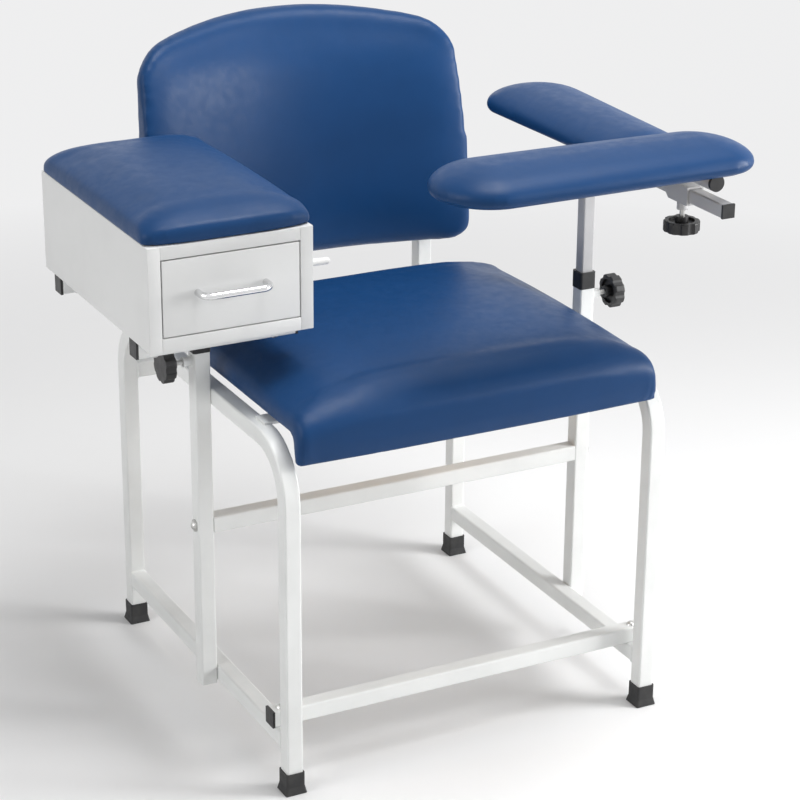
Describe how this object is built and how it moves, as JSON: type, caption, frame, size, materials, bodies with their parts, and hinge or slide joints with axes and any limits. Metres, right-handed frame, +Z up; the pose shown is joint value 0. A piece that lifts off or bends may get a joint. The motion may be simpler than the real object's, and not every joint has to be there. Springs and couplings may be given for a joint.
{
  "type": "phlebotomy chair",
  "caption": "Blood-draw chair: padded seat and back on a square tube frame, a height-adjustable drawer cabinet on one side and padded arm rests with a flip-up arm on the other.",
  "frame": {"origin": "on the floor, under the middle of the whole chair's box", "axes": "+X to the right as seen from in front of the chair, +Y to the back, +Z up"},
  "size_m": [0.6767, 0.6576, 0.7818],
  "materials": {
    "white_paint": "white powder coat, semi-gloss",
    "grey_paint": "grey powder coat, satin",
    "vinyl": "navy upholstery vinyl over foam, semi-gloss",
    "board": "plywood, unfinished",
    "laminate": "white laminated board, satin",
    "white_plastic": "white moulded plastic",
    "black_plastic": "black moulded plastic, satin",
    "rubber": "black rubber, matte",
    "chrome": "bright chrome plate",
    "zinc": "zinc plated steel"
  },
  "bodies": {
    "chair": {"left_hoop": "white_paint", "right_hoop": "white_paint", "left_lower_rail": "white_paint", "right_lower_rail": "white_paint", "feet": "rubber", "front_stretcher": "white_paint", "stretcher_plugs": "black_plastic", "stretcher_screws": "zinc", "left_post": "white_paint", "right_post": "white_paint", "cross_rail": "white_paint", "cross_rail_bolts": "zinc", "knob_bosses": "white_paint", "post_collars": "black_plastic", "rear_cross_tube": "white_paint", "left_back_upright": "white_paint", "right_back_upright": "white_paint", "seat_bars": "white_paint", "seat_board": "board", "seat_cushion": "vinyl", "back_board": "board", "back_cushion": "vinyl"},
    "cabinet": {"cabinet_left_side": "laminate", "cabinet_right_side": "laminate", "cabinet_bottom": "laminate", "cabinet_top_panel": "laminate", "cabinet_back": "laminate", "cabinet_top_pad": "vinyl", "front_support_tube": "white_paint", "rear_support_tube": "white_paint", "support_tube_plugs": "black_plastic", "carrier_beam": "white_paint", "cabinet_mast": "grey_paint", "hanging_peg": "white_plastic", "drawer_runners": "zinc"},
    "drawer": {"drawer_front": "laminate", "handle_screws": "zinc", "drawer_sides": "laminate", "drawer_back": "laminate", "drawer_bottom": "laminate", "drawer_handle": "chrome"},
    "arm": {"arm_mast": "grey_paint", "arm_rail": "grey_paint", "arm_rail_plugs": "black_plastic", "rear_arm_bracket": "grey_paint", "rear_arm_board": "board", "rear_arm_pad": "vinyl"},
    "saddle": {"saddle_clamp": "grey_paint", "pivot_rod": "zinc"},
    "front_arm": {"pivot_sleeve": "grey_paint", "pivot_cap": "black_plastic", "front_arm_plate": "grey_paint", "front_arm_board": "board", "front_arm_pad": "vinyl"},
    "left_knob": {"left_knob_screw": "zinc", "left_knob_grip": "black_plastic"},
    "right_knob": {"right_knob_screw": "zinc", "right_knob_grip": "black_plastic"},
    "saddle_knob": {"saddle_knob_screw": "zinc", "saddle_knob_grip": "black_plastic"}
  },
  "joints": [
    {"name": "cabinet_lift", "type": "slide", "parent": "chair", "child": "cabinet", "axis": [0, 0, 1], "range_m": [-0.01, 0.15]},
    {"name": "drawer_slide", "type": "slide", "parent": "cabinet", "child": "drawer", "axis": [0, -1, 0], "range_m": [0, 0.25]},
    {"name": "arm_lift", "type": "slide", "parent": "chair", "child": "arm", "axis": [0, 0, 1], "range_m": [-0.12, 0.04]},
    {"name": "saddle_slide", "type": "slide", "parent": "arm", "child": "saddle", "axis": [0, -1, 0], "range_m": [0, 0.05]},
    {"name": "front_arm_flip", "type": "hinge", "parent": "saddle", "child": "front_arm", "pos_m": [0.2814, -0.24864, 0.6777], "axis": [0, 1, 0], "range_deg": [0, 90]},
    {"name": "left_knob_turn", "type": "hinge", "parent": "chair", "child": "left_knob", "pos_m": [-0.2541, -0.03164, 0.463], "axis": [-1, 0, 0], "range_deg": [0, 720]},
    {"name": "right_knob_turn", "type": "hinge", "parent": "chair", "child": "right_knob", "pos_m": [0.3059, -0.03164, 0.463], "axis": [1, 0, 0], "range_deg": [0, 720]},
    {"name": "saddle_knob_turn", "type": "hinge", "parent": "saddle", "child": "saddle_knob", "pos_m": [0.2814, -0.23764, 0.62], "axis": [0, 0, -1], "range_deg": [0, 720]}
  ]
}
